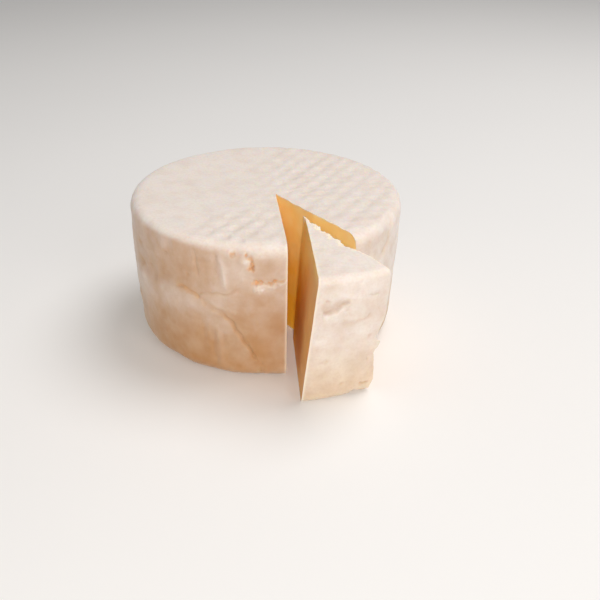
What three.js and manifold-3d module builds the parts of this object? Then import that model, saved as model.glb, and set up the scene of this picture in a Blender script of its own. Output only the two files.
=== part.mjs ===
// A soft cheese wheel with a white rind, and the one wedge that has been cut from it.
// The wedge stands drawn part way out of its notch. Both stand on z = 0, in millimetres,
// +Z up, and the wheel's own axis is x = 0, y = 0. The notch opens towards -Y and +X.
import * as THREE from "three";
import { mergeVertices } from "three/addons/utils/BufferGeometryUtils.js";
import Module from "manifold-3d";

// The wheel: a low cylinder whose wall leans in a little towards the base.
const TOP_RADIUS = 59.7;
const FOOT_RADIUS = 57.1;
const HEIGHT = 62;
const BELLY = 0.6; // how far the wall swells at half its height
const SHOULDER_RADIUS = 5.4; // the round between the top and the wall
const HEEL_RADIUS = 6; // the round between the wall and the base
const OVAL = 0.5; // the wheel is a little narrower across X than across Y
const SWELL = 1.9; // a soft swelling of the wall, which the right-hand cut goes through
const SWELL_ANGLE = THREE.MathUtils.degToRad(-50);
const SWELL_SPREAD = THREE.MathUtils.degToRad(14);
const ROUND_STEPS = 96;
const WALL_STEPS = 5;
const ARC_STEPS = 5;

// The notch: two upright knife cuts that meet near the wheel's axis.
const NOTCH_APEX = new THREE.Vector2(4.2, -6.6);
const NOTCH_HEADING = THREE.MathUtils.degToRad(-67.4); // from the apex, out to the rim
const NOTCH_HALF_ANGLE = THREE.MathUtils.degToRad(15.5);
const CUT_REACH = 75; // how far the cuts run from the apex, past the rim
const CUT_MARGIN = 5; // how far the cuts run above and below the wheel

// The wedge: the slice from the notch, drawn out, leaning and with a foot that has spread.
const WEDGE_HEEL_RADIUS = 2; // its foot is pressed flatter than the wheel's
const WEDGE_TIP_LOSS = 2.5; // the thin tip stays behind on the knife
const WEDGE_BASE = { out: 18.4, side: 1.4, width: 1.17 };
const WEDGE_TOP = { out: 21.6, side: 4.1, width: 1 };
const TORN_WIDTH = 4.3; // the strip of rind torn off along the top of its right-hand cut
const TORN_DEPTH = 6; // how deep that tear runs

const RIND_COLOUR = 0xe9ddd0;

const wasm = await Module();
wasm.setup();

// How far the rim stands out of a true circle, at an angle about the axis.
function outOfRound(angle) {
  const fromSwell = (angle - SWELL_ANGLE) / SWELL_SPREAD;
  return SWELL * Math.exp(-fromSwell * fromSwell) - OVAL * Math.cos(2 * angle);
}

function wallRadius(z) {
  const share = z / HEIGHT;
  return THREE.MathUtils.lerp(FOOT_RADIUS, TOP_RADIUS, share) + BELLY * Math.sin(Math.PI * share);
}

// One side of the wheel's outline, from the middle of the base up to the middle of the top.
function outline(heelRadius) {
  const points = [new THREE.Vector2(0, 0)];
  for (let i = 0; i <= ARC_STEPS; i++) {
    const turn = (i / ARC_STEPS) * (Math.PI / 2);
    const z = heelRadius * (1 - Math.cos(turn));
    points.push(new THREE.Vector2(wallRadius(z) - heelRadius * (1 - Math.sin(turn)), z));
  }
  for (let i = 1; i < WALL_STEPS; i++) {
    const z = THREE.MathUtils.lerp(heelRadius, HEIGHT - SHOULDER_RADIUS, i / WALL_STEPS);
    points.push(new THREE.Vector2(wallRadius(z), z));
  }
  for (let i = 0; i <= ARC_STEPS; i++) {
    const turn = (i / ARC_STEPS) * (Math.PI / 2);
    const z = HEIGHT - SHOULDER_RADIUS * (1 - Math.sin(turn));
    points.push(new THREE.Vector2(wallRadius(z) - SHOULDER_RADIUS * (1 - Math.cos(turn)), z));
  }
  points.push(new THREE.Vector2(0, HEIGHT));
  return points;
}

// Moves every vertex of a geometry by a function of its position.
function reshape(geometry, change) {
  const position = geometry.getAttribute("position");
  const point = new THREE.Vector3();
  for (let i = 0; i < position.count; i++) {
    point.fromBufferAttribute(position, i);
    change(point);
    position.setXYZ(i, point.x, point.y, point.z);
  }
  return geometry;
}

// The uncut cheese, as a turned solid that is then pushed slightly out of round.
function wholeCheese(heelRadius) {
  const turned = new THREE.LatheGeometry(outline(heelRadius), ROUND_STEPS).rotateX(Math.PI / 2);
  return reshape(turned, (point) => {
    const radius = Math.hypot(point.x, point.y);
    const grown = 1 + (outOfRound(Math.atan2(point.y, point.x)) * radius) / TOP_RADIUS ** 2;
    point.x *= grown;
    point.y *= grown;
  });
}

// A point at a distance out along the notch's heading and a distance to its side.
function inNotch(out, side) {
  return new THREE.Vector2(out, side).rotateAround(new THREE.Vector2(), NOTCH_HEADING).add(NOTCH_APEX);
}

// The upright prism between the two cuts, without the tip before a given distance.
function cutPrism(tipLoss) {
  const spread = Math.tan(NOTCH_HALF_ANGLE);
  const corners = [
    inNotch(CUT_REACH, -CUT_REACH * spread),
    inNotch(CUT_REACH, CUT_REACH * spread),
    inNotch(tipLoss, tipLoss * spread),
  ];
  if (tipLoss > 0) corners.push(inNotch(tipLoss, -tipLoss * spread));
  const depth = HEIGHT + 2 * CUT_MARGIN;
  const prism = new THREE.ExtrudeGeometry(new THREE.Shape(corners), { depth, bevelEnabled: false });
  return prism.translate(0, 0, -CUT_MARGIN);
}

// The three-sided bar along the top of the right-hand cut, where the wedge's rind is torn away.
function tornBar() {
  const slope = TORN_DEPTH / TORN_WIDTH;
  const section = new THREE.Shape([
    new THREE.Vector2(-CUT_MARGIN, CUT_MARGIN),
    new THREE.Vector2(-CUT_MARGIN, -TORN_DEPTH - CUT_MARGIN * slope),
    new THREE.Vector2(TORN_WIDTH + CUT_MARGIN / slope, CUT_MARGIN),
  ]);
  const heading = NOTCH_HEADING + NOTCH_HALF_ANGLE;
  const outward = new THREE.Vector3(Math.cos(heading), Math.sin(heading), 0);
  const up = new THREE.Vector3(0, 0, 1);
  const intoWedge = new THREE.Vector3().crossVectors(outward, up);
  const bar = new THREE.ExtrudeGeometry(section, { depth: CUT_REACH, bevelEnabled: false });
  const frame = new THREE.Matrix4().makeBasis(intoWedge, up, outward.clone().negate());
  frame.setPosition(NOTCH_APEX.x + outward.x * CUT_REACH, NOTCH_APEX.y + outward.y * CUT_REACH, HEIGHT);
  return bar.applyMatrix4(frame);
}

// A closed geometry as a solid that can be cut.
function solidOf(geometry) {
  const bare = geometry.clone();
  bare.deleteAttribute("normal");
  bare.deleteAttribute("uv");
  const merged = mergeVertices(bare, 1e-4);
  return new wasm.Manifold(
    new wasm.Mesh({
      numProp: 3,
      vertProperties: merged.getAttribute("position").array,
      triVerts: new Uint32Array(merged.index.array),
    }),
  );
}

function geometryOf(solid) {
  const mesh = solid.getMesh();
  const geometry = new THREE.BufferGeometry();
  geometry.setAttribute("position", new THREE.BufferAttribute(new Float32Array(mesh.vertProperties), 3));
  geometry.setIndex(new THREE.BufferAttribute(new Uint32Array(mesh.triVerts), 1));
  return geometry;
}

// Slides a slice out of its notch: less far, less to the side and wider at the base than at the top.
function drawOut(geometry) {
  return reshape(geometry, (point) => {
    const share = point.z / HEIGHT;
    const local = new THREE.Vector2(point.x, point.y).sub(NOTCH_APEX);
    local.rotateAround(new THREE.Vector2(), -NOTCH_HEADING);
    const out = local.x + THREE.MathUtils.lerp(WEDGE_BASE.out, WEDGE_TOP.out, share);
    const width = THREE.MathUtils.lerp(WEDGE_BASE.width, WEDGE_TOP.width, share);
    const side = local.y * width + THREE.MathUtils.lerp(WEDGE_BASE.side, WEDGE_TOP.side, share);
    const placed = inNotch(out, side);
    point.x = placed.x;
    point.y = placed.y;
  });
}

function makeWheel() {
  const cut = solidOf(wholeCheese(HEEL_RADIUS)).subtract(solidOf(cutPrism(0)));
  return geometryOf(cut);
}

function makeWedge() {
  const slice = solidOf(wholeCheese(WEDGE_HEEL_RADIUS)).intersect(solidOf(cutPrism(WEDGE_TIP_LOSS)));
  return drawOut(geometryOf(slice.subtract(solidOf(tornBar()))));
}

function piece(name, geometry) {
  geometry.computeVertexNormals();
  const material = new THREE.MeshStandardMaterial({ color: RIND_COLOUR, roughness: 0.85, metalness: 0 });
  const mesh = new THREE.Mesh(geometry, material);
  mesh.name = name;
  return mesh;
}

const cheese = new THREE.Group();
cheese.add(piece("cheese_wheel", makeWheel()));
cheese.add(piece("cut_wedge", makeWedge()));

export default cheese;
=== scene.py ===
"""The looks of a soft cheese wheel with a white mould rind and the one wedge drawn part way out of it.

Each lump starts as a box of fine grids, one unit long each way. Its points are then moved into the
cheese's own outline, round the apex where the two knife cuts meet, and given their folds, pits, tears
and mat marks. Lengths inside the shaping functions are in millimetres.
"""

import itertools
import math

import bmesh
import bpy
import numpy as np
from mathutils import Matrix, Vector


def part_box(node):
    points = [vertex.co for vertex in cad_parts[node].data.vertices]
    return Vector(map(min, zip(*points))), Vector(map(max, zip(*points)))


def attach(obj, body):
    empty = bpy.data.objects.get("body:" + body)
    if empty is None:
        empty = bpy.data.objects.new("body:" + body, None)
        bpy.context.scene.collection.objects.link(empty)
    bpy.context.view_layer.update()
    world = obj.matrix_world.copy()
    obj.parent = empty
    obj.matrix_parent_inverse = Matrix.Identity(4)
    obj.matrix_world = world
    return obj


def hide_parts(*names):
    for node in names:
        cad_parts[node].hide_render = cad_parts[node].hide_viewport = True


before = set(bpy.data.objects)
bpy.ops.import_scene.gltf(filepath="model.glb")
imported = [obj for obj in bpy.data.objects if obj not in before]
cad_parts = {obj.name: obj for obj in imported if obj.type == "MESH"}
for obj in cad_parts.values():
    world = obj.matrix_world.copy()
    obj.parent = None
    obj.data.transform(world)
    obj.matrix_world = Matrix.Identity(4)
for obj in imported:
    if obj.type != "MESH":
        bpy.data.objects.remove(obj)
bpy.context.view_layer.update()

bl_info = {
    "name": "Cut Cheese Wheel",
    "version": (1, 0, 0),
    "blender": (4, 5, 0),
    "location": "View3D > Sidebar > Cheese",
    "description": "Builds a soft white-rind cheese wheel with one wedge drawn out of it",
    "category": "Add Mesh",
}

WHEEL_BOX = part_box("cheese_wheel")
WEDGE_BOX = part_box("cut_wedge")
MM = 0.001
FINISH_NAME = "rind_and_paste"

# The unevenness: the lumps before it repeats, each octave's shift and the gain that brings it to about 1.
LATTICE = 32
OCTAVE_SHIFT = 0.37
RIPPLE_GAIN = 1.6

# The uncut cheese.
HEIGHT = WHEEL_BOX[1].z / MM
OVAL = (WHEEL_BOX[1].y - WHEEL_BOX[1].x) / MM / 2
TOP_RADIUS = (WHEEL_BOX[1].y + WHEEL_BOX[1].x) / MM / 2
FOOT_NARROWING = 2.6
FOOT_RADIUS = TOP_RADIUS - FOOT_NARROWING
BELLY = 0.6
SWELL = 1.9
SWELL_TURN = math.radians(-50)
SWELL_SPREAD = math.radians(14)

# The two cuts, which meet at the apex, and the way the wedge has moved.
APEX = np.array((4.2, -6.6))
NOTCH_HEADING = math.radians(-67.4)
NOTCH_HALF_ANGLE = math.radians(15.5)
LEFT_CUT = NOTCH_HEADING - NOTCH_HALF_ANGLE
RIGHT_CUT = NOTCH_HEADING + NOTCH_HALF_ANGLE
WEDGE_FOOT = {"out": 18.4, "side": 1.4, "width": 1.17}
WEDGE_HEAD = {"out": 21.6, "side": 4.1, "width": 1.0}
WEDGE_DROOP = 4.5
DROOP_FROM = 42
TORN_WIDTH = 4.3
TORN_DEPTH = 6.0

# Grid steps outwards, up and round, and the share of the rows where the heel ends and the shoulder starts.
WHEEL_GRID = (56, 116, 410)
WHEEL_HEEL_END = 8 / 116
WHEEL_SHOULDER_START = 108 / 116
WEDGE_GRID = (100, 150, 84)
WEDGE_HEEL_END = 4 / 150
WEDGE_SHOULDER_START = 143 / 150
WEDGE_TIP = 0.045
WEDGE_HEEL = 2.0
WEDGE_SHOULDER = 0.62

# The wheel's steps lie closer where the skin shows most: step number and degrees round from the right cut.
WHEEL_STEPS = ((0, 0), (8, 4), (230, 255), (285, 290), (402, 325), (410, 329))

# Distances in the unit box below which two places count as one.
TOUCHING = 1e-6
MERGE = 1e-5

# The relief: how high it may rise, and how far from an edge it has faded to a third.
WALL_RISE = 0.7
WALL_FADE = 3.0
TOP_RISE = 0.3
TOP_SINK = 0.32
TOP_FADE = 2.5
LIP_RISE = 0.2
# The paleness along the left-hand cut's lip: partly the rind's cream edge, partly a painted highlight.
LIP_HIGHLIGHT = 0.8

# The drying mat's weave, pressed into the top.
MAT_ROW_TURN = math.radians(-26.6)
MAT_ROW_GAP = 7.16
MAT_STITCH_TURN = math.radians(58.4)
MAT_STITCH_GAP = 8.4

# Tints that go with the colours in the settings: a painted warm bounce light on the low wall, and the
# floor's faint clouds.
PAINTED_BOUNCE_TINT = (1.0, 0.93, 0.8)
FLOOR_CLOUD = (0.8, 0.8, 0.8)

# The camera, with its lens in mm and its dip and roll in degrees.
CAMERA_PLACE = (0.01557, -0.33253, 0.19140)
CAMERA_LENS = 48.45
CAMERA_DIP = 29.16
CAMERA_ROLL = 0.987


# ---------------------------------------------------------------- shapes in plain numbers

def smooth(value):
    """A soft step: 0 below 0, 1 above 1."""
    value = np.clip(value, 0, 1)
    return value * value * (3 - 2 * value)


def ripple(points, size, octaves=2, seed=0):
    """Smooth unevenness of about -1 to 1, with lumps of a given size in mm."""
    slopes = np.random.default_rng(seed).normal(size=(LATTICE, LATTICE, LATTICE, 3))
    slopes /= np.linalg.norm(slopes, axis=-1, keepdims=True)
    total = np.zeros(len(points))
    for octave in range(octaves):
        places = points * (2**octave / size) + OCTAVE_SHIFT * octave
        cell = np.floor(places).astype(int)
        offset = places - cell
        share = smooth(offset)
        for corner in itertools.product((0, 1), repeat=3):
            weight = np.prod(np.where(corner, share, 1 - share), axis=1)
            slope = slopes[tuple(((cell + corner) % LATTICE).T)]
            total += weight * np.sum(slope * (offset - corner), axis=1) * RIPPLE_GAIN / 2**octave
    return total


def wall_radius(z):
    share = z / HEIGHT
    return FOOT_RADIUS + (TOP_RADIUS - FOOT_RADIUS) * share + BELLY * np.sin(np.pi * share)


def out_of_round(turn):
    from_swell = (turn - SWELL_TURN + np.pi) % (2 * np.pi) - np.pi
    return SWELL * np.exp(-((from_swell / SWELL_SPREAD) ** 2)) - OVAL * np.cos(2 * turn)


def outline(row, heel, shoulder, heel_end, shoulder_start):
    """Height of each row of the section, and how far it stands in from the wall."""
    heel_turn = np.clip(row / heel_end, 0, 1) * np.pi / 2
    shoulder_turn = np.clip((row - shoulder_start) / (1 - shoulder_start), 0, 1) * np.pi / 2
    wall_share = np.clip((row - heel_end) / (shoulder_start - heel_end), 0, 1)
    z = heel * (1 - np.cos(heel_turn)) + (HEIGHT - heel - shoulder) * wall_share
    z = z + shoulder * np.sin(shoulder_turn)
    inset = heel * (1 - np.sin(heel_turn)) + shoulder * (1 - np.cos(shoulder_turn))
    return z, inset


def skin_reach(heading, radius):
    """From the apex to the skin along a heading, and the skin's turn about the wheel's axis."""
    along = APEX[0] * np.cos(heading) + APEX[1] * np.sin(heading)
    grown = radius
    for _ in range(4):
        reach = -along + np.sqrt(along**2 - APEX @ APEX + grown**2)
        x = APEX[0] + reach * np.cos(heading)
        y = APEX[1] + reach * np.sin(heading)
        turn = np.arctan2(y, x)
        grown = radius + out_of_round(turn) * radius**2 / TOP_RADIUS**2
    return reach, turn


def stroke(across, up, points):
    """Distance to a line of points, the side of it (+1 to its left) and the share along it."""
    points = np.array(points, float)
    lengths = np.hypot(*(points[1:] - points[:-1]).T)
    total = lengths.sum()
    done = 0.0
    nearest = np.full(across.shape, 1e9)
    side = np.zeros(across.shape)
    share = np.zeros(across.shape)
    for start, end, length in zip(points[:-1], points[1:], lengths):
        step = (end - start) / length
        along = (across - start[0]) * step[0] + (up - start[1]) * step[1]
        along = np.clip(along, 0, length)
        off_x = across - start[0] - along * step[0]
        off_y = up - start[1] - along * step[1]
        distance = np.hypot(off_x, off_y)
        closer = distance < nearest
        nearest = np.where(closer, distance, nearest)
        side = np.where(closer, np.sign(step[0] * off_y - step[1] * off_x), side)
        share = np.where(closer, (done + along) / total, share)
        done += length
    return nearest, side, share


class Relief:
    """Heights and bare, rindless spots that build up over a stretch of skin."""

    def __init__(self, across, up):
        self.across = across
        self.up = up
        self.height = np.zeros(across.shape)
        self.bare = np.zeros(across.shape)
        self.stain_and_shade = np.zeros(across.shape)
        self.warmth_and_shade = np.zeros(across.shape)
        self.pale = np.zeros(across.shape)

    def fold(
        self, points, depth=0.6, width=0.7, left=0.0, right=0.0, reach=6.0, bare=0.0, stain_and_shade=0.0, ends=0.15
    ):
        """A crease along a line, with the skin beside it raised or sunk."""
        distance, side, share = stroke(self.across, self.up, points)
        taper = smooth(np.minimum(share, 1 - share) / ends)
        lean = 0.5 + 0.5 * np.tanh(side * distance / width)
        beside = np.exp(-((distance / reach) ** 1.5)) * (left * lean + right * (1 - lean))
        groove = np.exp(-((distance / width) ** 2))
        self.height += taper * (beside - depth * groove)
        self.bare += taper * bare * np.exp(-((distance / width / 1.1) ** 2))
        # A crease's stain is partly the rind's own tan, partly painted shade at its bottom.
        self.stain_and_shade += taper * stain_and_shade * np.exp(-((distance / (1.6 * width)) ** 1.5))

    def pit(self, at, size, depth, bare=0.0, stain_and_shade=0.0, flat=1.0, rim=0.0):
        """A small hollow, wider than it is high where flat is above 1."""
        distance = np.hypot((self.across - at[0]) / flat, self.up - at[1]) / size
        self.height += rim * np.exp(-((distance - 1.4) ** 2) / 0.15) - depth * np.exp(-(distance**2))
        self.bare += bare * np.exp(-(distance**2) * 0.9)
        # A pit's stain is partly the rind's own tan, partly painted shade in the hollow.
        self.stain_and_shade += stain_and_shade * np.exp(-(distance**2) * 0.5)

    def patch(self, at, size, height):
        """A soft raised or sunk area with a fairly clear edge."""
        distance = np.hypot(self.across - at[0], self.up - at[1]) / size
        self.height += height * smooth((1.25 - distance) / 0.5)

    def warm(self, at, size, amount, flat=1.0):
        """A cloud of rind colour, warmer for an amount above 0 and paler below, used also for painted shade
        and painted highlights.
        """
        distance = np.hypot((self.across - at[0]) / flat, self.up - at[1]) / size
        self.warmth_and_shade += amount * np.exp(-(distance**2))


def unrolled(degrees, z):
    """A point of the wall, given as degrees round and mm up, on the wall laid flat in mm."""
    return (math.radians(degrees) * TOP_RADIUS, z)


def laid_flat(points):
    return [unrolled(*point) for point in points]


# The wall left of the notch: a long fold that starts as a crack and runs down to the base.
FOLD_HEAD = ((-114.0, 37.0), (-111.0, 34.4), (-106.3, 31.9), (-102.0, 28.6))
LONG_FOLD = ((-105.2, 30.6), (-100.9, 27.2), (-98.2, 22.8), (-95.2, 17.4), (-90.8, 8.6))
LEDGE = ((-160, 33.0), (-150, 36.4), (-138, 36.6), (-129, 38.6), (-123, 39.6), (-117, 38.0), (-111, 34.2))
CRACK = ((-124.6, 39.8), (-121, 39.5), (-118.5, 38.6), (-115.6, 37.4), (-113.4, 36.2))
THIN_WRINKLE = ((-115.5, 38.0), (-111, 39.2), (-107, 40.0), (-103, 39.6), (-98.6, 42.3), (-96.6, 42.0))
SECOND_WRINKLE = ((-110, 32.0), (-105, 33.0), (-101.5, 31.6), (-99, 30.2))
LEFT_GROOVE = ((-116.0, 60.5), (-115.0, 52), (-113.6, 44))
LEFT_HOLLOW = ((-112.6, 33), (-113.4, 24), (-114.0, 14), (-116, 4))
MIDDLE_GROOVE = ((-107.2, 60), (-106.4, 50), (-105.4, 43))
RIDGE = ((-105.4, 61), (-104, 54), (-102.6, 46), (-101.8, 40))
LOW_RIDGE = ((-107.6, 27), (-106.2, 18), (-105.6, 3))
LOW_GROOVE = ((-109.8, 25), (-109.2, 14), (-108.8, 2))
NOTCH_GROOVE = ((-89.5, 9), (-89.2, 4), (-89.4, 0.5))

# The torn rind beside the notch.
UPPER_TEAR = ((-95.2, 59.2), (-94.3, 57.6), (-93.0, 56.4), (-92.6, 54.8), (-93.4, 52.6), (-92.4, 51.2))
LOWER_TEAR = (
    (-93.0, 47.4), (-91.0, 46.8), (-88.6, 46.0), (-86.2, 45.8), (-84.8, 47.0), (-82.6, 46.6), (-80, 47.2),
)

# Where the tears go deepest: place, size, depth, bareness, width over height and the height of the rim.
TEAR_PITS = (
    ((-90.8, 46.0), 1.25, 1.2, 1.1, 1.4, 0.0),
    ((-93.4, 52.4), 0.95, 0.9, 1.0, 0.9, 0.0),
    ((-84.9, 47.2), 0.7, 0.5, 0.9, 1.2, 0.0),
    ((-99.8, 58.0), 0.9, 0.55, 0.55, 1.4, 0.3),
)

# The bright wall right of the notch.
RIGHT_FOLD = ((-22.6, 62), (-24.8, 60), (-28.2, 56.6), (-30.2, 51.2), (-33.8, 48.0), (-38.4, 46.4))

# Small pits of the wall: place, size and width over height.
WALL_PIT_DEPTH = 0.5
WALL_PIT_STAIN_AND_SHADE = 0.75
WALL_PITS = (
    ((-150.5, 48.6), 1.4, 1.6),
    ((-129.8, 52.4), 0.9, 0.9),
    ((-150.1, 40.0), 1.3, 2.0),
    ((-141.9, 42.6), 1.2, 1.3),
    ((-118.6, 45.8), 0.7, 1.0),
    ((-89.6, 4.6), 0.7, 1.4),
)

# Clouds of warmer or, where the amount is below 0, paler rind: place, size, amount and width over height.
# Beside the rind's own patches, the warm ones lay painted shade in the recess above the crack, beside the
# upper tear and low by the notch, and the pale ones painted highlights on the ridge and the flakes by the
# tears.
WALL_CLOUDS = (
    ((-121, 47), 7, 0.24, 1.6),
    ((-150, 46), 14, 0.15, 1.0),
    ((-120, 12), 13, 0.2, 2.4),
    ((-86, 24), 17, 0.6, 0.8),
    ((-86.5, 52.5), 4.5, 0.42, 1.2),
    ((-98, 50), 7, -0.12, 0.8),
    ((-103.4, 50), 9, -0.12, 0.2),
    ((-95.2, 55.4), 1.3, -0.4, 0.8),
    ((-89.6, 43.6), 1.8, -0.4, 1.6),
)


def rind_unevenness(points):
    """The soft lumpiness that the whole skin has."""
    upright = points * np.array((1.0, 1.0, 0.22))
    height = 0.34 * ripple(points, 21.0, 2, 31)
    height += 0.16 * ripple(points, 6.5, 2, 77)
    height += 0.05 * ripple(points, 1.9, 2, 13)
    return height + 0.14 * ripple(upright, 4.5, 2, 59)


def scatter_folds(relief, first, last, count, seed):
    """Folds and pits of the same kinds on a stretch of wall between two headings."""
    chance = np.random.default_rng(seed)
    for _ in range(count):
        turn = chance.uniform(first, last)
        z = chance.uniform(10, 52)
        slope = chance.choice((-1.6, -0.5, 0.15, 0.6))
        length = chance.uniform(7, 20)
        steps = np.linspace(-0.5, 0.5, 5) * length
        bend = chance.uniform(-1.6, 1.6, 5)
        line = [
            (math.radians(turn) * TOP_RADIUS + s, np.clip(z + slope * s + b, 3, 60))
            for s, b in zip(steps, bend)
        ]
        relief.fold(
            line,
            depth=chance.uniform(0.15, 0.5),
            width=chance.uniform(0.5, 1.1),
            left=chance.uniform(-0.2, 0.05),
            right=chance.uniform(0.1, 0.4),
            reach=chance.uniform(3, 7),
            stain_and_shade=chance.uniform(0.1, 0.5),
            ends=0.35,
        )
    for _ in range(count):
        place = unrolled(chance.uniform(first, last), chance.uniform(8, 57))
        size = chance.uniform(0.5, 1.1)
        relief.pit(place, size, chance.uniform(0.25, 0.6), stain_and_shade=0.6, flat=chance.uniform(0.8, 2.0))


def fold_wall(relief):
    """The ledge, the cracks and the long folds of the wheel's wall."""
    relief.fold(laid_flat(LEDGE), 0.0, 3.2, left=-0.9, right=0.9, reach=9)
    relief.fold(laid_flat(CRACK), 0.9, 0.6, left=-0.2, right=0.3, reach=2, bare=0.25, stain_and_shade=0.75)
    relief.fold(laid_flat(FOLD_HEAD), 0.6, 1.1, right=0.6, reach=3.5, stain_and_shade=0.22, ends=0.2)
    relief.fold(laid_flat(LONG_FOLD), 1.2, 0.5, left=-0.3, right=0.9, reach=3.5, stain_and_shade=0.75, ends=0.1)
    relief.fold(laid_flat(THIN_WRINKLE), 0.4, 0.5, right=0.3, reach=2, stain_and_shade=0.2)
    relief.fold(laid_flat(SECOND_WRINKLE), 0.3, 0.6, left=0.4, reach=2, stain_and_shade=0.1)
    relief.fold(laid_flat(LEFT_GROOVE), 0.35, 0.8, right=0.15, reach=5, stain_and_shade=0.12, ends=0.3)
    relief.fold(laid_flat(LEFT_HOLLOW), 0.35, 2.2, right=0.1, reach=6, stain_and_shade=0.08, ends=0.3)
    relief.fold(laid_flat(MIDDLE_GROOVE), 0.22, 0.8, ends=0.3)
    relief.fold(laid_flat(RIDGE), -0.8, 1.2, right=0.1, reach=4, ends=0.3)
    relief.fold(laid_flat(LOW_RIDGE), -0.5, 1.5, ends=0.3)
    relief.fold(laid_flat(LOW_GROOVE), 0.25, 1.5, ends=0.3)
    relief.fold(laid_flat(NOTCH_GROOVE), 0.4, 0.9, stain_and_shade=0.4)
    relief.fold(laid_flat(RIGHT_FOLD), 0.45, 1.0, left=0.35, right=-0.15, reach=5, stain_and_shade=0.15)
    relief.patch(unrolled(-87.0, 54), 6.0, 0.5)


def tear_wall(relief, points):
    """The two tears in the wheel's rind beside the notch."""
    torn = 0.6 + 0.9 * smooth(0.5 + 0.8 * ripple(points, 1.6, 2, 510))
    across = relief.across + 0.6 * ripple(points, 1.5, 2, 520)
    tears = Relief(across, relief.up + 0.6 * ripple(points, 1.5, 2, 530))
    tears.fold(laid_flat(UPPER_TEAR), 1.3, 0.55, left=-0.4, right=1.1, reach=1.5, bare=0.8, ends=0.05)
    tears.fold(laid_flat(LOWER_TEAR), 1.0, 0.45, left=-0.1, right=0.8, reach=1.7, bare=0.5, ends=0.05)
    for place, size, depth, bare, flat, rim in TEAR_PITS:
        tears.pit(unrolled(*place), size, depth, bare=bare, flat=flat, rim=rim)
    relief.height += tears.height * torn
    relief.bare += tears.bare * torn


def crumble_wall(relief, points):
    """The broken crumbs that hang on below the lower tear."""
    across, up = relief.across, relief.up
    crumbs = smooth((3.6 - np.hypot(across - unrolled(-90.4, 0)[0], (up - 43.4) * 1.3)) / 2.5)
    crumbs += 0.7 * smooth((1.6 - np.abs(across - unrolled(-84.6, 0)[0]) / 3 - np.abs(up - 45.2)) / 1.2)
    relief.height += crumbs * (0.3 + 0.8 * ripple(points, 1.3, 2, 20))


def wheel_wall(points, turn, z):
    """Relief of the wheel's wall."""
    degrees = np.degrees(turn)
    degrees = np.where(degrees > 0, degrees - 360, degrees)
    wander = ripple(points, 4.0, 2, 110), ripple(points, 4.0, 2, 290)
    relief = Relief(np.radians(degrees) * TOP_RADIUS + 0.7 * wander[0], z + 0.7 * wander[1])
    fold_wall(relief)
    tear_wall(relief, points)
    for place, size, flat in WALL_PITS:
        relief.pit(unrolled(*place), size, WALL_PIT_DEPTH, stain_and_shade=WALL_PIT_STAIN_AND_SHADE, flat=flat)
    crumble_wall(relief, points)
    base_wave = 0.8 * np.sin(np.radians(degrees) * 9.0 + 0.6) + 0.6 * np.sin(np.radians(degrees) * 17.0)
    relief.height += 0.5 * base_wave * np.exp(-z / 4.0)
    # Painted shade: the left-hand front of the wall is tanned darker, as if out of the light; the darkening
    # towards the base is partly the rind's own browning, partly painted shade.
    shaded_left_front = np.exp(-(((degrees + 122) / 42) ** 2))
    relief.warmth_and_shade += (0.12 + 0.55 * shaded_left_front) + (0.34 + 0.08 * shaded_left_front) * smooth(1 - z / 36)
    for place, size, amount, flat in WALL_CLOUDS:
        relief.warm(unrolled(*place), size, amount, flat)
    relief.warmth_and_shade += 0.12 * ripple(points, 4.5, 2, 350) + 0.07 * ripple(points, 12.0, 2, 360)
    scatter_folds(relief, -345, -205, count=26, seed=5)
    scatter_folds(relief, -204, -160, count=12, seed=8)
    return relief


# The wedge's outer face: a crack with a soft ledge below it, and a few pits.
WEDGE_CRACK = ((-77.4, 41.6), (-75.4, 42.4), (-72.4, 43.0), (-70.4, 44.6), (-68.6, 46.2), (-66.8, 46.0))
WEDGE_BRANCH = ((-68.8, 45.4), (-68.2, 42.6), (-68.0, 39.4))
WEDGE_GROOVE = ((-70.0, 38.0), (-67.6, 37.2), (-64.6, 36.4), (-61.4, 37.6), (-58.0, 39.4))
WEDGE_NICK = ((-60.6, 50.0), (-58.6, 48.8), (-56.4, 48.6))
WEDGE_BASE_CRACK = ((-58.8, 5.4), (-57.0, 4.6), (-55.0, 4.8))
WEDGE_PIT_DEPTH = 0.4
WEDGE_PIT_STAIN_AND_SHADE = 0.25
WEDGE_PITS = (
    ((-73.4, 19.6), 0.9, 1.5),
    ((-66.0, 6.6), 0.7, 1.0),
    ((-56.5, 17.6), 0.7, 1.0),
    ((-57.4, 29.0), 0.9, 1.0),
    ((-75.4, 48.4), 0.8, 0.7),
)

# What has broken off the wedge: the height up its right-hand edge and how far in the edge now stands, then
# the degrees along its base and how far up the rind is gone.
RAGGED_EDGE = (
    (0, 2.2), (2, 2.0), (5, 0.8), (10, 1.2), (15, 1.9), (19.6, 3.0), (21.6, 1.7), (24, 0.3),
    (26.6, 2.9), (30, 2.0), (35, 0.5), (37, 0), (62, 0),
)
CHIPPED_BASE = ((-64, 0), (-62, 1.4), (-60.5, 2.9), (-59, 2.0), (-55, 1.0), (-50, 0.8))


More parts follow.
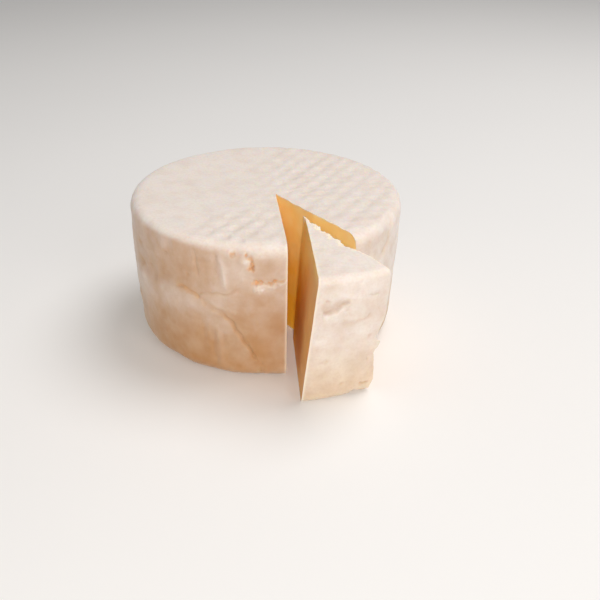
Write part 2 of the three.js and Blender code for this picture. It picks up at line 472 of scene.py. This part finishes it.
def wedge_wall(points, turn, z):
    """Relief of the wedge's outer face."""
    wander = ripple(points, 3.0, 2, 110), ripple(points, 3.0, 2, 290)
    across = turn * TOP_RADIUS + 0.6 * wander[0]
    up = z + 0.6 * wander[1]
    relief = Relief(across, up)
    relief.fold(laid_flat(WEDGE_CRACK), 0.55, 0.75, left=-0.8, right=1.2, reach=3.0, stain_and_shade=0.35)
    relief.fold(laid_flat(WEDGE_BRANCH), 0.4, 1.0, left=0.1, right=0.2, reach=2, stain_and_shade=0.35)
    relief.fold(laid_flat(WEDGE_GROOVE), 0.3, 0.8, left=0.3, right=-0.15, reach=4, stain_and_shade=0.3)
    relief.fold(laid_flat(WEDGE_NICK), 0.3, 0.5, right=0.25, reach=2, stain_and_shade=0.25)
    relief.fold(laid_flat(WEDGE_BASE_CRACK), 0.6, 0.4, left=0.2, reach=1.5, bare=0.1, stain_and_shade=0.45)
    for place, size, flat in WEDGE_PITS:
        relief.pit(unrolled(*place), size, WEDGE_PIT_DEPTH, stain_and_shade=WEDGE_PIT_STAIN_AND_SHADE, flat=flat)
    # Painted shade: a soft tan area above the crack; below, the face darkens towards the base, partly the
    # rind's own browning, partly painted shade.
    relief.warm(unrolled(-71.0, 46.4), 2.4, 0.18, 1.9)
    relief.warmth_and_shade += 0.1 + 0.12 * smooth(1 - z / 34)
    relief.warmth_and_shade += 0.08 * ripple(points, 4.5, 2, 350) + 0.08 * ripple(points, 12.0, 2, 360)
    return relief


def break_edges(points, turn, inside):
    """Breaks bits off the right-hand edge and the bottom corner of the wedge's outer face."""
    z = points[:, 2]
    heights, losses = np.array(RAGGED_EDGE).T
    loss = np.interp(z + 0.5 * ripple(points, 2.0, 2, 610), heights, losses)
    inwards = np.array((math.sin(RIGHT_CUT), -math.cos(RIGHT_CUT)))
    from_cut = (points[:, :2] - APEX) @ inwards
    shift = loss * np.exp(-from_cut / 5.0) * np.exp(-inside / 9.0)
    points[:, :2] += inwards * shift[:, None]
    places, lifts = np.array(CHIPPED_BASE).T
    lift = np.interp(np.degrees(turn) + 0.6 * ripple(points, 2.0, 2, 620), places, lifts)
    sunk = 2.4 * smooth((lift - z) / 0.9) * np.exp(-inside / 4.0)
    points[:, 0] -= sunk * np.cos(turn)
    points[:, 1] -= sunk * np.sin(turn)


def mat_marks(x, y, points):
    """The mat's weave on the top: rows of small lumps, faint at the left and clear at the right."""
    x = x + 0.9 * ripple(points, 9.0, 2, 170)
    y = y + 0.9 * ripple(points, 9.0, 2, 230)
    across = (x * math.cos(MAT_ROW_TURN) + y * math.sin(MAT_ROW_TURN)) / MAT_ROW_GAP
    along = (x * math.cos(MAT_STITCH_TURN) + y * math.sin(MAT_STITCH_TURN)) / MAT_STITCH_GAP
    row = np.cos(2 * np.pi * across)
    stitch = np.cos(2 * np.pi * along)
    fine = np.cos(4 * np.pi * across) * np.cos(4 * np.pi * along)
    weave = 0.55 * row + 0.45 * row * stitch + 0.2 * fine
    clear = 0.1 + 0.9 * smooth((x + 10) / 24)
    near = smooth(1 - np.hypot(x + 8, y + 44) / 26)
    strength = np.maximum(clear, 1.7 * near) * (0.8 + 0.4 * ripple(points, 14.0, 1, 310))
    return strength, weave


def top_relief(x, y, points, mat):
    """Heights of the top and the painted shade that lies in the hollows of the mat's weave."""
    strength, weave = mat_marks(x, y, points)
    strength = strength * mat
    height = 0.42 * strength * weave
    height += 0.25 * ripple(points, 17.0, 2, 410)
    height += 0.08 * ripple(points, 2.4, 2, 430)
    return height, 0.13 * strength * smooth(0.5 - 0.6 * weave)


# ---------------------------------------------------------------- meshes

def read_points(mesh):
    flat = np.empty(len(mesh.vertices) * 3)
    mesh.vertices.foreach_get("co", flat)
    return flat.reshape(-1, 3)


def write_points(mesh, points):
    mesh.vertices.foreach_set("co", points.ravel())
    mesh.update()


def write_attribute(mesh, name, values):
    attribute = mesh.attributes.new(name, "FLOAT", "POINT")
    attribute.data.foreach_set("value", values.astype(np.float32))


def gridded_box(name, columns, rows, steps, tip):
    """A box of fine grids, 1 long each way: x runs out from the cuts' meeting line, y round and z up."""
    bm = bmesh.new()
    cut_face = bm.faces.layers.int.new("cut_face")
    middle = (1 + tip) / 2
    lengthwise = Matrix.Diagonal((1 - tip, 1, 1, 1))
    upright = Matrix.Rotation(math.pi / 2, 4, "X")
    across = Matrix.Rotation(-math.pi / 2, 4, "Y")
    for end in (0, 1):
        flat = Matrix.Translation((middle, 0.5, end)) @ lengthwise
        bmesh.ops.create_grid(bm, x_segments=columns, y_segments=steps, size=0.5, matrix=flat)
    wall = Matrix.Translation((1, 0.5, 0.5)) @ across
    bmesh.ops.create_grid(bm, x_segments=rows, y_segments=steps, size=0.5, matrix=wall)
    skin = set(bm.faces)
    for end in (0, 1):
        cut = Matrix.Translation((middle, end, 0.5)) @ upright @ lengthwise
        bmesh.ops.create_grid(bm, x_segments=columns, y_segments=rows, size=0.5, matrix=cut)
    if tip > 0:
        blunt = Matrix.Translation((tip, 0.5, 0.5)) @ across
        bmesh.ops.create_grid(bm, x_segments=rows, y_segments=steps, size=0.5, matrix=blunt)
    else:
        for vert in bm.verts:
            if vert.co.x < TOUCHING:
                vert.co.y = 0
    for face in bm.faces:
        face.smooth = True
        face[cut_face] = face not in skin
    bmesh.ops.remove_doubles(bm, verts=bm.verts[:], dist=MERGE)
    base = [face for face in bm.faces if max(vert.co.z for vert in face.verts) < TOUCHING]
    bmesh.ops.dissolve_faces(bm, faces=base)
    bmesh.ops.recalc_face_normals(bm, faces=bm.faces[:])
    for edge in bm.edges:
        on_axis = max(vert.co.x for vert in edge.verts) < TOUCHING
        edge.smooth = not on_axis and len({face[cut_face] for face in edge.link_faces}) == 1
    mesh = bpy.data.meshes.new(name)
    bm.to_mesh(mesh)
    bm.free()
    return mesh


def shoulder_round(heading, radius):
    """The shoulder is tighter along the left-hand front of the wheel."""
    tight = np.exp(-(((np.degrees(heading) % 360 - 222) / 26) ** 2))
    return radius * (1 - 0.42 * tight)


def held_below(height, limit):
    """Heights with their peaks rounded off under a limit."""
    return np.where(height > 0, limit * np.tanh(height / limit), height)


def cut_lip(points):
    """1 along the left-hand cut's edge, where the rind stands up a little, falling to 0 beside it; the
    paleness it gives is partly the rind's cream edge, partly a painted highlight.
    """
    from_cut = (points[:, 1] - APEX[1]) * math.cos(LEFT_CUT) - (points[:, 0] - APEX[0]) * math.sin(LEFT_CUT)
    behind_apex = (points[:, :2] - APEX) @ np.array((math.cos(LEFT_CUT), math.sin(LEFT_CUT)))
    return np.exp(-((from_cut / 0.6) ** 2)) * smooth(behind_apex / 3)


def shape_cheese(mesh, headings, heel, shoulder, heel_end, shoulder_start, wall, lifted, mat):
    """Moves a gridded box into the cheese's outline and gives it its relief.

    headings turns a share of the box's width into a direction from the apex, wall makes the relief, lifted
    is the room left for it under the outline, and mat is how clear the mat's marks are. Returns the points
    with their headings, their shares of the way out, their depths below the skin and the relief.
    """
    plain = read_points(mesh)
    out = plain[:, 0]
    heading = headings(plain[:, 1])
    shoulder = shoulder_round(heading, shoulder)
    z, inset = outline(plain[:, 2], heel, shoulder, heel_end, shoulder_start)
    reach, turn = skin_reach(heading, wall_radius(z) - inset - lifted)
    distance = out * reach
    points = np.empty_like(plain)
    points[:, 0] = APEX[0] + distance * np.cos(heading)
    points[:, 1] = APEX[1] + distance * np.sin(heading)
    points[:, 2] = z
    inside = reach - distance
    below = HEIGHT - z
    relief = wall(points, turn, z)
    lumps = rind_unevenness(points)
    raised = held_below(relief.height + lumps, WALL_RISE)
    raised = raised * np.exp(-(inside + inset * (below < shoulder)) / WALL_FADE)
    points[:, 0] += raised * np.cos(turn)
    points[:, 1] += raised * np.sin(turn)
    top, painted_hollow_shade = top_relief(points[:, 0], points[:, 1], points, mat)
    top = held_below(top, TOP_RISE) - TOP_SINK
    lip = cut_lip(points)
    points[:, 2] += (top + LIP_RISE * lip) * np.exp(-below / TOP_FADE)
    # Painted highlight along the lip, over the rind's own cream edge.
    relief.pale = LIP_HIGHLIGHT * lip
    on_wall = smooth((below - 1.0) / (0.9 * shoulder))
    # Painted shade and light: the wall's tan is deepened in hollows and lightened on bumps.
    relief.warmth_and_shade = (relief.warmth_and_shade - 0.2 * np.clip(relief.height + 0.8 * lumps, -1.2, 1.0)) * on_wall
    # On the top, the mat's hollows take painted shade in the crease colour.
    relief.stain_and_shade = relief.stain_and_shade * np.maximum(on_wall, 0.2) + painted_hollow_shade * (1 - on_wall)
    depth = np.minimum(np.minimum(inside, below), z)
    on_skin = (out > 1 - TOUCHING) | (plain[:, 2] > 1 - TOUCHING) | (plain[:, 2] < TOUCHING)
    depth[on_skin] = 0
    return points, heading, out, np.maximum(depth, 0), relief


def scrape_cuts(points, heading, out, depth, sweep_start, sweep_end):
    """The faint ridges that a knife drags over the two cut faces."""
    inner = smooth(depth / 1.5) * smooth(out / 0.12)
    drag = 0.22 * ripple(points * np.array((0.5, 0.5, 1.0)), 9.0, 2, 33)
    drag += 0.10 * ripple(points * np.array((1.0, 1.0, 0.15)), 1.8, 2, 91)
    middle = (sweep_start + sweep_end) / 2
    towards = np.where(heading < middle, 1.0, -1.0)
    push = inner * (drag + 0.1) * towards
    points[:, 0] += -np.sin(heading) * push
    points[:, 1] += np.cos(heading) * push


def droop(points, out):
    """Lowers the slice's top towards its outer face, as a soft slice does once it stands alone."""
    high = smooth((points[:, 2] - DROOP_FROM) / (HEIGHT - DROOP_FROM))
    points[:, 2] -= WEDGE_DROOP * np.clip(out, 0, 1) ** 1.3 * high


def draw_out(points):
    """Slides the slice out of its notch: less far and wider at the foot than at the head."""
    share = points[:, 2] / HEIGHT
    cos, sin = math.cos(NOTCH_HEADING), math.sin(NOTCH_HEADING)
    x, y = points[:, 0] - APEX[0], points[:, 1] - APEX[1]
    move = {key: WEDGE_FOOT[key] + (WEDGE_HEAD[key] - WEDGE_FOOT[key]) * share for key in WEDGE_FOOT}
    out = x * cos + y * sin + move["out"]
    side = (-x * sin + y * cos) * move["width"] + move["side"]
    points[:, 0] = APEX[0] + out * cos - side * sin
    points[:, 1] = APEX[1] + out * sin + side * cos


def keep_in_box(points, box):
    """No point stands outside the box of the solid that the piece stands for."""
    low, high = (np.array(corner) / MM for corner in box)
    return np.clip(points, low, high)


def finish_piece(mesh, points, depth, relief, node, material):
    write_points(mesh, points * MM)
    write_attribute(mesh, "skin_depth", depth)
    write_attribute(mesh, "bare", np.clip(relief.bare, 0, 1))
    write_attribute(mesh, "stain_and_shade", np.clip(relief.stain_and_shade, 0, 1))
    write_attribute(mesh, "warmth_and_shade", np.tanh(1.15 * np.maximum(relief.warmth_and_shade, 0)))
    write_attribute(mesh, "pale", relief.pale)
    mesh.materials.append(material)
    piece = bpy.data.objects.new(mesh.name, mesh)
    bpy.context.scene.collection.objects.link(piece)
    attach(piece, "root")
    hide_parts(node)


def make_wheel(shape, material):
    sweep = LEFT_CUT + 2 * math.pi - RIGHT_CUT
    mesh = gridded_box("wheel_body", *WHEEL_GRID, 0.0)
    column, turn = np.array(WHEEL_STEPS).T
    column = column / column[-1]
    turn = turn / turn[-1] * sweep

    def headings(share):
        return RIGHT_CUT + np.interp(share, column, turn)

    points, heading, out, depth, relief = shape_cheese(
        mesh,
        headings,
        heel=shape.heel_radius / MM,
        shoulder=shape.shoulder_radius / MM,
        heel_end=WHEEL_HEEL_END,
        shoulder_start=WHEEL_SHOULDER_START,
        wall=wheel_wall,
        lifted=0.2,
        mat=1.0,
    )
    scrape_cuts(points, heading, out, depth, RIGHT_CUT, RIGHT_CUT + sweep)
    points = keep_in_box(points, WHEEL_BOX)
    finish_piece(mesh, points, depth, relief, "cheese_wheel", material)


def tear_strip(points, relief):
    """Breaks the rind away along the top of the wedge's right-hand cut, down to a crumbly slope."""
    across = np.array((math.sin(RIGHT_CUT), -math.cos(RIGHT_CUT)))
    inward = (points[:, :2] - APEX) @ across
    below = HEIGHT - points[:, 2]
    along = np.hypot(points[:, 0] - APEX[0], points[:, 1] - APEX[1])
    narrowing = 1 - 0.8 * smooth((along - 30) / 16)
    width = TORN_WIDTH * narrowing
    height = TORN_DEPTH * narrowing
    norm = np.hypot(1 / width, 1 / height)
    crumbs = 0.3 * ripple(points, 3.2, 2, 60) + 0.16 * ripple(points, 1.1, 2, 80)
    crumbs *= smooth((along - 1) / 6)
    beyond = np.maximum((1 + crumbs - inward / width - below / height) / norm, 0)
    shift = beyond / norm
    aside = shift / width * np.minimum(0.25 * along / width, 1)
    points[:, 0] += across[0] * aside
    points[:, 1] += across[1] * aside
    points[:, 2] -= shift / height
    border = 1 + 1.4 * crumbs - inward / width - below / height
    torn = smooth(1 + (border + 0.12) / 0.25)
    relief.bare *= 1 - torn
    return torn


def make_wedge(shape, material):
    sweep = RIGHT_CUT - LEFT_CUT
    mesh = gridded_box("wedge_body", *WEDGE_GRID, WEDGE_TIP)

    def headings(share):
        return LEFT_CUT + share * sweep

    points, heading, out, depth, relief = shape_cheese(
        mesh,
        headings,
        heel=WEDGE_HEEL,
        shoulder=WEDGE_SHOULDER * shape.shoulder_radius / MM,
        heel_end=WEDGE_HEEL_END,
        shoulder_start=WEDGE_SHOULDER_START,
        wall=wedge_wall,
        lifted=0.3,
        mat=0.45,
    )
    scrape_cuts(points, heading, out, depth, LEFT_CUT, RIGHT_CUT)
    turn = np.arctan2(points[:, 1], points[:, 0])
    inside = np.maximum(wall_radius(points[:, 2]) - np.hypot(points[:, 0], points[:, 1]), 0)
    break_edges(points, turn, inside)
    torn = tear_strip(points, relief)
    droop(points, out)
    draw_out(points)
    points = keep_in_box(points, WEDGE_BOX)
    finish_piece(mesh, points, depth, relief, "cut_wedge", material)
    write_attribute(mesh, "torn", torn)
    # Painted shade on the wedge's cut faces: away from the tip the paste turns a dull tan, as if less
    # orange light bounced in there; it fades out near the top.
    shaded_from = 0.02 + 0.5 * (points[:, 2] / HEIGHT) ** 2
    cut_face_shade = 0.85 * smooth((out - shaded_from) / 0.35) * smooth((HEIGHT - 2 - points[:, 2]) / 10)
    write_attribute(mesh, "cut_face_shade", cut_face_shade)


# ---------------------------------------------------------------- materials

class Nodes:
    """A material's node tree, built up line by line."""

    def __init__(self, name):
        self.material = bpy.data.materials.new(name)
        self.material.use_nodes = True
        self.tree = self.material.node_tree
        self.shader = self.tree.nodes["Principled BSDF"]
        self.place = self.add("ShaderNodeTexCoord").outputs["Object"]

    def add(self, kind, inputs=None, **settings):
        made = self.tree.nodes.new(kind)
        for name, value in settings.items():
            setattr(made, name, value)
        for name, value in (inputs or {}).items():
            self.plug(value, made.inputs[name])
        return made

    def plug(self, value, socket):
        if isinstance(value, bpy.types.NodeSocket):
            self.tree.links.new(value, socket)
        else:
            socket.default_value = value

    def noise(self, size, detail=3.0, roughness=0.5):
        """Cloudy unevenness of 0 to 1, with lumps of a given size in mm."""
        inputs = {"Vector": self.place, "Scale": 1 / (size * MM), "Detail": detail, "Roughness": roughness}
        return self.add("ShaderNodeTexNoise", inputs).outputs["Fac"]

    def attribute(self, name):
        return self.add("ShaderNodeAttribute", attribute_name=name).outputs["Fac"]

    def math(self, operation, a, b=0.0):
        made = self.add("ShaderNodeMath", {0: a, 1: b}, operation=operation)
        return made.outputs[0]

    def spread(self, value, low, high, to_low=0.0, to_high=1.0):
        """A value's range laid smoothly onto another."""
        inputs = {"Value": value, "From Min": low, "From Max": high, "To Min": to_low, "To Max": to_high}
        return self.add("ShaderNodeMapRange", inputs, interpolation_type="SMOOTHSTEP").outputs["Result"]

    def mix(self, share, first, second, blend="MIX"):
        """One colour laid over another. Sockets 6 and 7 are the colours, and output 2 is their mix."""
        inputs = {0: share, 6: first, 7: second}
        made = self.add("ShaderNodeMix", inputs, data_type="RGBA", blend_type=blend)
        return made.outputs[2]

    def shade(self, inputs):
        """Plugs values into the shader and hands over the finished material."""
        for name, value in inputs.items():
            self.plug(value, self.shader.inputs[name])
        return self.material


def opaque(colour):
    return (*colour, 1)


def cheese_material(finish):
    """White mould rind outside and soft yellow paste inside, told apart by the depth below the skin."""
    nodes = Nodes(FINISH_NAME)
    depth = nodes.attribute("skin_depth")
    torn = nodes.attribute("torn")
    mottle = nodes.noise(9.0, 3.0)
    grain = nodes.noise(1.1, 4.0, 0.6)

    # The wall's tan: partly the rind's own colour, partly painted shade on the left-hand front, low down
    # and in hollows.
    tan_and_shade_share = nodes.math("ADD", nodes.attribute("warmth_and_shade"), nodes.spread(mottle, 0.3, 0.75, -0.05, 0.12))
    rind = nodes.mix(tan_and_shade_share, opaque(finish.rind), opaque(finish.rind_tan_and_shade))
    rind = nodes.mix(nodes.spread(grain, 0.35, 0.75, 0, 0.12), rind, opaque(finish.rind_tan_and_shade))
    patchy = nodes.spread(nodes.noise(2.6, 3.0), 0.3, 0.65, 0.25, 1.0)
    # Tan in creases, pits and the mat's hollows: partly the rind's own stain, partly painted shade.
    stain_and_shade = nodes.math("MULTIPLY", nodes.attribute("stain_and_shade"), patchy)
    rind = nodes.mix(stain_and_shade, rind, opaque(finish.crease))
    height = nodes.add("ShaderNodeSeparateXYZ", {"Vector": nodes.place}).outputs["Z"]
    # Painted bounce light: the rind is tinted a warm cream in the lowest few mm, as if lit from a warm
    # surface below.
    rind = nodes.mix(nodes.spread(height, 0.034, 0.003), rind, opaque(PAINTED_BOUNCE_TINT), "MULTIPLY")

    cream = nodes.spread(nodes.math("ADD", depth, mottle), 0.8, 2.3)
    paste = nodes.mix(cream, opaque(finish.paste_edge), opaque(finish.paste))
    # The paste turns a deeper orange towards the bottom and in random patches.
    low = nodes.spread(height, 0.056, 0.018, 0.0, 0.85)
    deeper_orange = nodes.math("ADD", low, nodes.spread(nodes.noise(14.0, 3.0), 0.4, 0.7, 0, 0.3))
    paste = nodes.mix(deeper_orange, paste, opaque(finish.paste_deep))
    # Painted shade of the wedge's cut faces.
    paste = nodes.mix(nodes.attribute("cut_face_shade"), paste, opaque(finish.paste_in_shade))
    ragged = nodes.math("ADD", depth, nodes.math("MULTIPLY", nodes.noise(1.6, 2.0), 0.5))
    paste_share = nodes.spread(ragged, finish.rind_thickness / MM, finish.rind_thickness / MM + 0.35)
    crumbly = nodes.noise(0.9, 3.0, 0.6)
    bare = nodes.math("MULTIPLY", nodes.attribute("bare"), nodes.spread(crumbly, 0.35, 0.6, 0.3, 1.0))
    # Paler crumb colour: the rind's own cream where a cut shows it, and a painted highlight along the
    # left-hand cut's lip.
    pale = nodes.math("MAXIMUM", nodes.spread(depth, 0.02, 0.25, 0.0, 0.8), nodes.attribute("pale"))
    rind = nodes.mix(pale, rind, opaque(finish.crumb))
    colour = nodes.mix(paste_share, rind, paste)
    colour = nodes.mix(bare, colour, opaque(finish.bare))
    colour = nodes.mix(torn, colour, opaque(finish.crumb))

    lumpy = nodes.math("MULTIPLY", nodes.noise(2.2, 3.0), 1.2)
    velvet = nodes.math("ADD", nodes.noise(0.55, 3.0, 0.6), lumpy)
    softness = nodes.math("SUBTRACT", 1.0, nodes.math("MULTIPLY", paste_share, 0.7))
    quiet = nodes.math("MULTIPLY", velvet, softness)
    broken = nodes.math("MULTIPLY", crumbly, nodes.math("ADD", torn, nodes.attribute("bare")))
    rough_skin = nodes.math("ADD", quiet, nodes.math("MULTIPLY", broken, 2.5))
    bump = nodes.add("ShaderNodeBump", {"Height": rough_skin, "Strength": 0.35, "Distance": 0.25 * MM})
    return nodes.shade({
        "Base Color": colour,
        "Roughness": nodes.math("SUBTRACT", 0.88, nodes.math("MULTIPLY", paste_share, 0.38)),
        "Specular IOR Level": nodes.spread(paste_share, 0, 1, 0.35, 0.15),
        "Subsurface Weight": 0.35,
        "Subsurface Radius": (1.0, 0.55, 0.25),
        "Subsurface Scale": 5.0 * MM,
        "Sheen Weight": nodes.spread(paste_share, 0, 1, 0.15, 0.0),
        "Sheen Roughness": 0.5,
        "Normal": bump.outputs["Normal"],
    })


def floor_material(studio):
    nodes = Nodes("studio_floor")
    tone = nodes.spread(nodes.noise(300.0, 2.0), 0.3, 0.7, 0, 0.1)
    pale = nodes.mix(tone, opaque(studio.floor), opaque(FLOOR_CLOUD))
    return nodes.shade({"Base Color": pale, "Roughness": 0.7, "Specular IOR Level": 0.2})


# ---------------------------------------------------------------- stage

def area_light(name, place, size, power, colour):
    """A round lamp, in metres, that shines at the middle of the cheese."""
    aim = Vector((0, 0, HEIGHT * MM / 2))
    light = bpy.data.lights.new(name, "AREA")
    light.shape = "DISK"
    light.size = size
    light.energy = power
    light.color = colour
    lamp = bpy.data.objects.new(name, light)
    lamp.location = place
    lamp.rotation_euler = (aim - Vector(place)).to_track_quat("-Z", "Y").to_euler()
    bpy.context.scene.collection.objects.link(lamp)


def make_floor(studio):
    bm = bmesh.new()
    bmesh.ops.create_grid(bm, x_segments=8, y_segments=8, size=3.0)
    mesh = bpy.data.meshes.new("floor")
    bm.to_mesh(mesh)
    bm.free()
    mesh.materials.append(floor_material(studio))
    floor = bpy.data.objects.new("floor", mesh)
    bpy.context.scene.collection.objects.link(floor)


def make_camera():
    camera = bpy.data.objects.new("camera", bpy.data.cameras.new("camera"))
    camera.data.lens = CAMERA_LENS
    camera.data.clip_start = 0.01
    dip = Matrix.Rotation(math.radians(90 - CAMERA_DIP), 4, "X")
    roll = Matrix.Rotation(math.radians(CAMERA_ROLL), 4, "Z")
    camera.matrix_world = Matrix.Translation(CAMERA_PLACE) @ (dip @ roll)
    bpy.context.scene.collection.objects.link(camera)
    bpy.context.scene.camera = camera


def make_lights(studio):
    area_light("key", (0.62, -0.85, 0.66), 0.5, studio.key, (1.0, 0.98, 0.96))
    area_light("front", (0.06, -1.05, 0.60), 0.14, studio.front, (1.0, 0.96, 0.91))
    area_light("top", (0.45, 0.25, 1.1), 0.8, studio.top, (1.0, 0.98, 0.97))
    world = bpy.data.worlds.new("studio")
    world.use_nodes = True
    sky = world.node_tree.nodes["Background"]
    sky.inputs["Color"].default_value = (1.0, 0.99, 0.97, 1)
    sky.inputs["Strength"].default_value = studio.ambient
    bpy.context.scene.world = world
    bpy.context.scene.view_settings.view_transform = "Standard"


# ---------------------------------------------------------------- settings, operators and panel

def length_setting(name, description, default):
    return bpy.props.FloatProperty(
        name=name, description=description, default=default, unit="LENGTH", precision=4
    )


def colour_setting(name, description, default):
    return bpy.props.FloatVectorProperty(
        name=name, description=description, default=default, subtype="COLOR", size=3, min=0, max=1
    )


def power_setting(name, description, default):
    return bpy.props.FloatProperty(name=name, description=description, default=default, unit="POWER")


class CheeseShape(bpy.types.PropertyGroup):
    """Sizes of the cheese."""

    shoulder_radius: length_setting("Shoulder radius", "The round between the top and the wall", 5.4 * MM)
    heel_radius: length_setting("Heel radius", "The round between the wall and the base", 6.0 * MM)


class CheeseFinish(bpy.types.PropertyGroup):
    """Colours of the rind and the paste."""

    rind_thickness: length_setting("Rind thickness", "The white rind's edge, seen on a cut", 0.5 * MM)
    rind: colour_setting("Rind", "The pale rind of the top", (0.84, 0.765, 0.71))
    # The low rind's tan is also the colour of the painted shade on the wall.
    rind_tan_and_shade: colour_setting("Low rind", "The warmer rind near the base", (0.48, 0.26, 0.12))
    # The crease colour is partly the rind's own tan, partly painted shade at the bottom of creases, pits
    # and the mat's hollows.
    crease: colour_setting("Crease", "The tan bottom of creases and pits", (0.56, 0.34, 0.18))
    bare: colour_setting("Bare paste", "Paste that shows where the rind is torn", (0.76, 0.41, 0.19))
    crumb: colour_setting("Crumb", "The broken edge of the wedge's rind", (0.96, 0.84, 0.68))
    paste_edge: colour_setting("Paste by the rind", "The creamy paste next to the rind", (0.98, 0.70, 0.36))
    paste: colour_setting("Paste", "The soft paste", (0.99, 0.71, 0.31))
    # The dull paste is the colour of the painted shade on the wedge's cut faces.
    paste_in_shade: colour_setting("Dull paste", "The wedge's paste, dried by the air", (0.84, 0.44, 0.18))
    # A deeper orange, laid on the paste towards the bottom and in random patches.
    paste_deep: colour_setting("Deep paste", "The riper patches of the paste", (0.99, 0.50, 0.04))


class CheeseStudio(bpy.types.PropertyGroup):
    """The floor and the light."""

    floor: colour_setting("Floor", "The plain pale floor", (0.92, 0.91, 0.90))
    key: power_setting("Key light", "The soft light from the right", 1.4)
    front: power_setting("Front light", "The small main light, just right of the camera", 7.3)
    top: power_setting("Top light", "The wide light above", 7.2)
    ambient: bpy.props.FloatProperty(name="Ambient light", description="Strength of the sky", default=0.24)


def shared_material(scene):
    return bpy.data.materials.get(FINISH_NAME) or cheese_material(scene.cheese_finish)


class CHEESE_OT_wheel(bpy.types.Operator):
    """Make the wheel with its notch"""

    bl_idname = "cheese.make_wheel"
    bl_label = "Cheese Wheel"

    def execute(self, context):
        make_wheel(context.scene.cheese_shape, shared_material(context.scene))
        return {"FINISHED"}


class CHEESE_OT_wedge(bpy.types.Operator):
    """Make the wedge that is drawn out of the notch"""

    bl_idname = "cheese.make_wedge"
    bl_label = "Cut Wedge"

    def execute(self, context):
        make_wedge(context.scene.cheese_shape, shared_material(context.scene))
        return {"FINISHED"}


class CHEESE_OT_stage(bpy.types.Operator):
    """Make the floor, the lights and the camera"""

    bl_idname = "cheese.make_stage"
    bl_label = "Studio Stage"

    def execute(self, context):
        make_camera()
        make_floor(context.scene.cheese_studio)
        make_lights(context.scene.cheese_studio)
        return {"FINISHED"}


class CHEESE_PT_panel(bpy.types.Panel):
    """Lists what can be made and the settings behind it"""

    bl_idname = "CHEESE_PT_panel"
    bl_label = "Cut Cheese Wheel"
    bl_space_type = "VIEW_3D"
    bl_region_type = "UI"
    bl_category = "Cheese"

    def draw(self, context):
        for setting in GROUPS:
            group = getattr(context.scene, setting)
            box = self.layout.box()
            for name in group.__annotations__:
                box.prop(group, name)
        for operator in OPERATORS:
            self.layout.operator(operator.bl_idname)


OPERATORS = (CHEESE_OT_stage, CHEESE_OT_wheel, CHEESE_OT_wedge)
GROUPS = {"cheese_shape": CheeseShape, "cheese_finish": CheeseFinish, "cheese_studio": CheeseStudio}


def register():
    for kind in (*GROUPS.values(), *OPERATORS, CHEESE_PT_panel):
        bpy.utils.register_class(kind)
    for name, kind in GROUPS.items():
        setattr(bpy.types.Scene, name, bpy.props.PointerProperty(type=kind))


def unregister():
    for name in GROUPS:
        delattr(bpy.types.Scene, name)
    for kind in (CHEESE_PT_panel, *reversed(OPERATORS), *GROUPS.values()):
        bpy.utils.unregister_class(kind)


def main():
    register()
    bpy.ops.cheese.make_stage()
    bpy.ops.cheese.make_wheel()
    bpy.ops.cheese.make_wedge()


if __name__ == "__main__":
    main()
